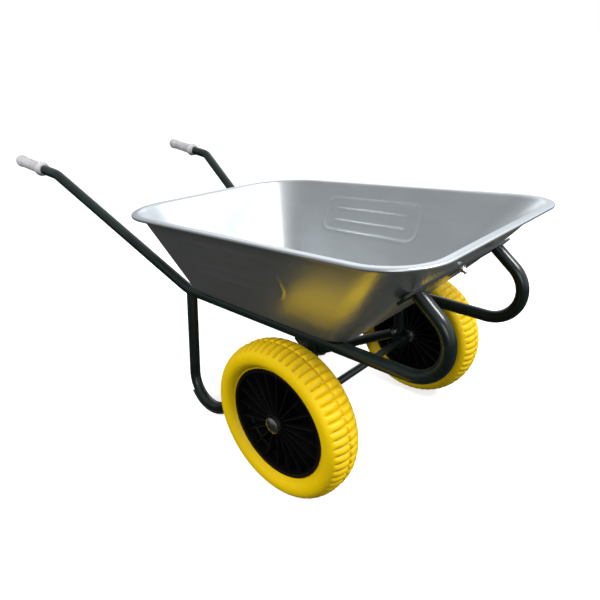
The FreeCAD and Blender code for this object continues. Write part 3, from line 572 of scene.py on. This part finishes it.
LUGS = 60
LUG_ROWS = 10
LUG_HEIGHT = 0.0058
LUG_POWER = 0.6
TREAD_HALF, TREAD_FADE = 0.0425, 0.0090
GROOVE_HALF, GROOVE_FADE = 0.0010, 0.0030
SECTION_HALF, SECTION_RISE, SECTION_POWER = 0.048, 0.0291, 2.2
SECTION_CENTRE, SECTION_STEPS, SECTION_STEP_DEGREES = 0.1609, 50, 2.84
SEAT_HALF, SEAT_RADIUS = 0.0300, 0.1312


def section_points():
    """Reach from the middle, radius, share of tread and share outside the groove."""
    points = []
    for step in range(-SECTION_STEPS, SECTION_STEPS + 1):
        angle = math.radians(step * SECTION_STEP_DEGREES)
        sine, cosine = math.sin(angle), math.cos(angle)
        reach = math.copysign(abs(sine) ** (2 / SECTION_POWER), sine) * SECTION_HALF
        rise = math.copysign(abs(cosine) ** (2 / SECTION_POWER), cosine) * SECTION_RISE
        edge = smooth_step((TREAD_HALF - abs(reach)) / TREAD_FADE) if rise > 0 else 0.0
        centre = smooth_step((abs(reach) - GROOVE_HALF) / GROOVE_FADE)
        points.append((reach, SECTION_CENTRE + rise, edge, centre))
    return points


def lug_rise(across):
    """Height of the tread across one pitch: a round-backed lug with a narrow valley."""
    return abs(math.cos(math.pi * across)) ** LUG_POWER


def tyre_pitch():
    """One pitch of the tyre: its whole section, swept over one lug."""
    section = section_points()
    section.append((SEAT_HALF, SEAT_RADIUS, 0.0, 1.0))
    section.insert(0, (-SEAT_HALF, SEAT_RADIUS, 0.0, 1.0))
    points, shade_depths = [], []
    for row in range(LUG_ROWS + 1):
        across = row / LUG_ROWS - 0.5
        for reach, radius, edge, centre in section:
            fall = LUG_HEIGHT * edge * (1 - lug_rise(across) * centre)
            angle = math.tau * across / LUGS
            radius -= fall
            shade_depths.append(fall / LUG_HEIGHT)
            points.append(Vector((radius * math.sin(angle), reach, radius * math.cos(angle))))
    count = len(section)
    faces = []
    for row in range(LUG_ROWS):
        for column in range(count):
            beside = (column + 1) % count
            faces.append((row * count + column, (row + 1) * count + column,
                          (row + 1) * count + beside, row * count + beside))
    mesh = bpy.data.meshes.new("tyre pitch")
    mesh.from_pydata([tuple(point) for point in points], [], faces)
    # Each point's depth below the lug tops, kept to paint shade into the valleys between the lugs.
    mesh.attributes.new("valley", "FLOAT", "POINT").data.foreach_set("value", shade_depths)
    return mesh


tyre_yellow = Finish("yellow polyurethane", Roughness=0.40, Specular_IOR_Level=0.35)
mottle = tyre_yellow.noise(26.0, 5.0, 0.6)
grime = tyre_yellow.noise(7.0, 4.0, 0.65)
valley = tyre_yellow.node("ShaderNodeAttribute", {"attribute_name": "valley"}, output="Fac")
# The yellow darkens with grime, mottle and valley depth: grime and mottle are random tone, the valley
# darkening is painted shade.
tyre_yellow.feed("Base Color", tyre_yellow.mix(
    tyre_yellow.ramp(grime * 0.35 + mottle * 0.25 + valley * 0.30, (0.30, grey(0.0)),
                     (0.85, grey(0.92))),
    (0.98, 0.66, 0.002, 1.0), (0.70, 0.40, 0.002, 1.0)))
tyre_yellow.feed("Roughness", mottle * 0.25 + 0.26)
tyre_yellow.relief(tyre_yellow.noise(90.0, 6.0, 0.75), 0.0016, 0.7)

rim_black = Finish("black wheel plastic", Roughness=0.4, Specular_IOR_Level=0.25)
rim_black.feed("Base Color", rim_black.ramp(
    rim_black.noise(30.0, 4.0), (0.3, grey(0.0018)), (0.75, grey(0.006))))
rim_black.feed("Roughness", rim_black.noise(80.0, 3.0) * 0.2 + 0.42)
rim_black.relief(rim_black.noise(600.0, 2.0), 0.0003, 0.4)

RIM_SECTION = (
    (-0.0480, 0.0135), (-0.0480, 0.0218), (-0.0468, 0.0230), (-0.0040, 0.0236),
    (-0.0020, 0.0256), (-0.0020, 0.1205), (-0.0055, 0.1243), (-0.0325, 0.1252),
    (-0.0335, 0.1262), (-0.0335, 0.1330), (-0.0325, 0.1340), (-0.0300, 0.1340),
    (-0.0300, 0.1300), (0.0300, 0.1300), (0.0300, 0.1340), (0.0325, 0.1340),
    (0.0335, 0.1330), (0.0335, 0.1262), (0.0325, 0.1252), (0.0055, 0.1243),
    (0.0020, 0.1205), (0.0020, 0.0256), (0.0040, 0.0236), (0.0333, 0.0230),
    (0.0345, 0.0218), (0.0345, 0.0135))
RIBS = 20
RIB_PHASE = math.radians(90.0 - 17.0)
RIB = ((-0.0420, 0.0215), (-0.0265, 0.1262), (0.0265, 0.1262), (0.0285, 0.0215))
RIB_HALF, RIB_TRIM = 0.0015, 0.0008
RIM_SIDES = 120


def rib_blade():
    """One radial rib, thinner at its edges than at its middle plane."""
    points = []
    for offset in (-RIB_HALF, RIB_HALF):
        for reach, radius in RIB:
            points.append(Vector((offset, reach - math.copysign(RIB_TRIM, reach), radius)))
    middle = [Vector((0.0, reach, radius)) for reach, radius in RIB]
    points = points[:4] + middle + points[4:]
    faces = loft(3, 4) + [(3, 2, 1, 0), (8, 9, 10, 11)]
    return shell_mesh("rib", points, faces)


def joined(name, meshes):
    """Several meshes as the one mesh of a moulding."""
    whole = bmesh.new()
    for mesh in meshes:
        whole.from_mesh(mesh)
    mesh = bpy.data.meshes.new(name)
    whole.to_mesh(mesh)
    whole.free()
    mesh.set_sharp_from_angle(angle=math.radians(SHARP_DEGREES))
    return mesh


for side, sense in BOTH:
    tyre_low, tyre_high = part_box(side + "_tyre")
    centre = Vector((AXLE_X, (tyre_low[1] + tyre_high[1]) / 2, AXLE_Z))
    tyre = repeated(side + " tyre", tyre_pitch(), tyre_yellow, Count=LUGS, Phase=0.0,
                    Centre=centre, Weld=0.00002)
    show(side + "_tyre_tread", tyre, tyre_yellow, side + "_wheel", "tyre_foam", side + "_tyre")
    blade = rib_blade()
    section = RIM_SECTION
    if sense < 0:
        section = tuple((-reach, radius) for reach, radius in RIM_SECTION)
        for vertex in blade.vertices:
            vertex.co.y = -vertex.co.y
        blade.flip_normals()
    points = []
    for reach, radius in section:
        for step in range(RIM_SIDES):
            angle = math.tau * step / RIM_SIDES
            points.append(centre + Vector((radius * math.cos(angle), reach,
                                           radius * math.sin(angle))))
    disc = shell_mesh("disc", points, loft(len(section), RIM_SIDES, closed_rows=True))
    ribs = repeated(side + " ribs", blade, rim_black, Count=RIBS, Phase=RIB_PHASE,
                    Centre=centre, Weld=MERGE)
    show(side + "_disc_wheel", joined(side + " disc wheel", (disc, ribs)), rim_black,
         side + "_wheel", "rim_plastic", side + "_wheel_rim")

nylon = Finish("natural nylon", Roughness=0.5)
nylon.feed("Base Color", nylon.ramp(
    nylon.noise(60.0), (0.3, (0.62, 0.60, 0.52, 1.0)), (0.7, (0.74, 0.72, 0.64, 1.0))))
cap_steel = Finish("bright pressed cap", Metallic=1.0, Roughness=0.2)
cap_steel.feed("Base Color", cap_steel.ramp(
    cap_steel.noise(120.0, 5.0), (0.35, (0.50, 0.47, 0.43, 1.0)), (0.7, (0.74, 0.72, 0.68, 1.0))))
cap_steel.feed("Roughness", cap_steel.noise(160.0, 4.0) * 0.3 + 0.10)
cap_steel.relief(cap_steel.noise(75.0, 2.0), 0.0012, 0.4)
for side, sense in BOTH:
    coat(nylon, side + "_inner_bush", side + "_outer_bush")
    coat(plated, side + "_inner_washer", side + "_outer_washer")
    coat(cap_steel, side + "_hub_cap")


# ---- Studio ------------------------------------------------------------------------
# A pale floor and plain soft light. The floor isn't part of the barrow. The barrow takes
# its light and its reflections from the room, which is dim below, and not from the floor.

FLOOR_HALF = 60.0
FLOOR_GLOW = 0.62
floor_mesh = bpy.data.meshes.new("studio floor")
floor_mesh.from_pydata([(-FLOOR_HALF, -FLOOR_HALF, 0.0), (FLOOR_HALF, -FLOOR_HALF, 0.0),
                        (FLOOR_HALF, FLOOR_HALF, 0.0), (-FLOOR_HALF, FLOOR_HALF, 0.0)],
                       [], [(0, 1, 2, 3)])
floor_paint = Finish("studio floor", Roughness=0.9)
floor_paint.shader.inputs["Base Color"].default_value = grey(0.93)
floor_paint.shader.inputs["Emission Color"].default_value = grey(1.0)
floor_paint.shader.inputs["Emission Strength"].default_value = FLOOR_GLOW
floor_mesh.materials.append(floor_paint.material)
studio_floor = bpy.data.objects.new("studio_floor", floor_mesh)
bpy.context.scene.collection.objects.link(studio_floor)
studio_floor.visible_glossy = False
studio_floor.visible_diffuse = False


class Room(Finish):
    """The light that comes from all round, by direction; the camera sees plain white."""

    def __init__(self):
        world = bpy.data.worlds.new("soft room")
        bpy.context.scene.world = world
        world.use_nodes = True
        self.tree = world.node_tree
        background = self.tree.nodes["Background"]
        split = self.node("ShaderNodeTexCoord", output="Generated")
        parts = self.node("ShaderNodeSeparateXYZ", None, {0: split})
        x, y, z = (Wire(self, parts.socket.node.outputs[axis]) for axis in "XYZ")
        height = self.ramp(z * 0.5 + 0.5, (0.0, ROOM_FLOOR), (0.44, ROOM_FLOOR),
                           (0.50, ROOM_WALL), (0.60, ROOM_HIGH), (1.0, grey(0.95)))
        side = self.ramp(y * 0.5 + x * 0.25 + 0.5, (0.12, grey(0.28)), (0.50, grey(0.52)),
                         (0.85, grey(0.92)))
        lit = self.node("ShaderNodeMix", {"data_type": "RGBA", "blend_type": "MULTIPLY"},
                        {0: 1.0, 6: height, 7: side}, output=2)
        seen = self.node("ShaderNodeLightPath", output="Is Camera Ray")
        self.tree.links.new(self.mix(seen, lit, grey(1.0)).socket, background.inputs["Color"])
        background.inputs["Strength"].default_value = ROOM_STRENGTH


ROOM_STRENGTH = 1.0
ROOM_FLOOR = (0.074, 0.074, 0.066, 1.0)
ROOM_WALL = (0.52, 0.55, 0.58, 1.0)
ROOM_HIGH = (0.84, 0.90, 0.96, 1.0)
Room()


def soft_light(name, place, target, size, power, colour=(1.0, 1.0, 1.0)):
    light = bpy.data.lights.new(name, "AREA")
    light.shape = "RECTANGLE"
    light.size, light.size_y = size
    light.energy = power
    light.color = colour
    lamp = bpy.data.objects.new(name, light)
    bpy.context.scene.collection.objects.link(lamp)
    lamp.location = place
    lamp.rotation_euler = (Vector(target) - Vector(place)).to_track_quat("-Z", "Y").to_euler()
    return lamp


soft_light("key", (2.4, 0.3, 3.0), (0.2, -0.1, 0.3), (1.1, 1.1), 90.0)
soft_light("back", (-2.5, 3.0, 1.9), (0.0, 0.0, 0.5), (3.2, 1.3), 8.0)
soft_light("window", (1.4, 2.1, 2.7), (-0.3, 0.0, 0.5), (1.6, 1.3), 4.5)
soft_light("front", (2.6, -2.6, 1.2), (0.2, -0.2, 0.3), (1.4, 1.0), 14.0)
side_light = soft_light("side", (-0.9, -2.8, 2.1), (0.3, -0.35, 0.2), (2.0, 1.2), 68.0)
side_light.visible_glossy = False

YAW, PITCH, ROLL_ANGLE = 2.31328, 0.41663, -0.01016
CAMERA_PLACE = Vector((AXLE_X + 0.67014, -0.96548, 0.90410))
ahead = Vector((math.cos(YAW) * math.cos(PITCH), math.sin(YAW) * math.cos(PITCH),
                -math.sin(PITCH)))
level = ahead.cross(Vector((0.0, 0.0, 1.0))).normalized()
raised = level.cross(ahead)
right = level * math.cos(ROLL_ANGLE) + raised * math.sin(ROLL_ANGLE)
top = raised * math.cos(ROLL_ANGLE) - level * math.sin(ROLL_ANGLE)
lens = bpy.data.cameras.new("camera")
lens.lens = 30.363
lens.sensor_width = 36.0
camera = bpy.data.objects.new("camera", lens)
bpy.context.scene.collection.objects.link(camera)
turn = Matrix((right, top, -ahead)).transposed()
camera.matrix_world = Matrix.Translation(CAMERA_PLACE) @ turn.to_4x4()
bpy.context.scene.camera = camera
bpy.context.scene.view_settings.view_transform = "Standard"
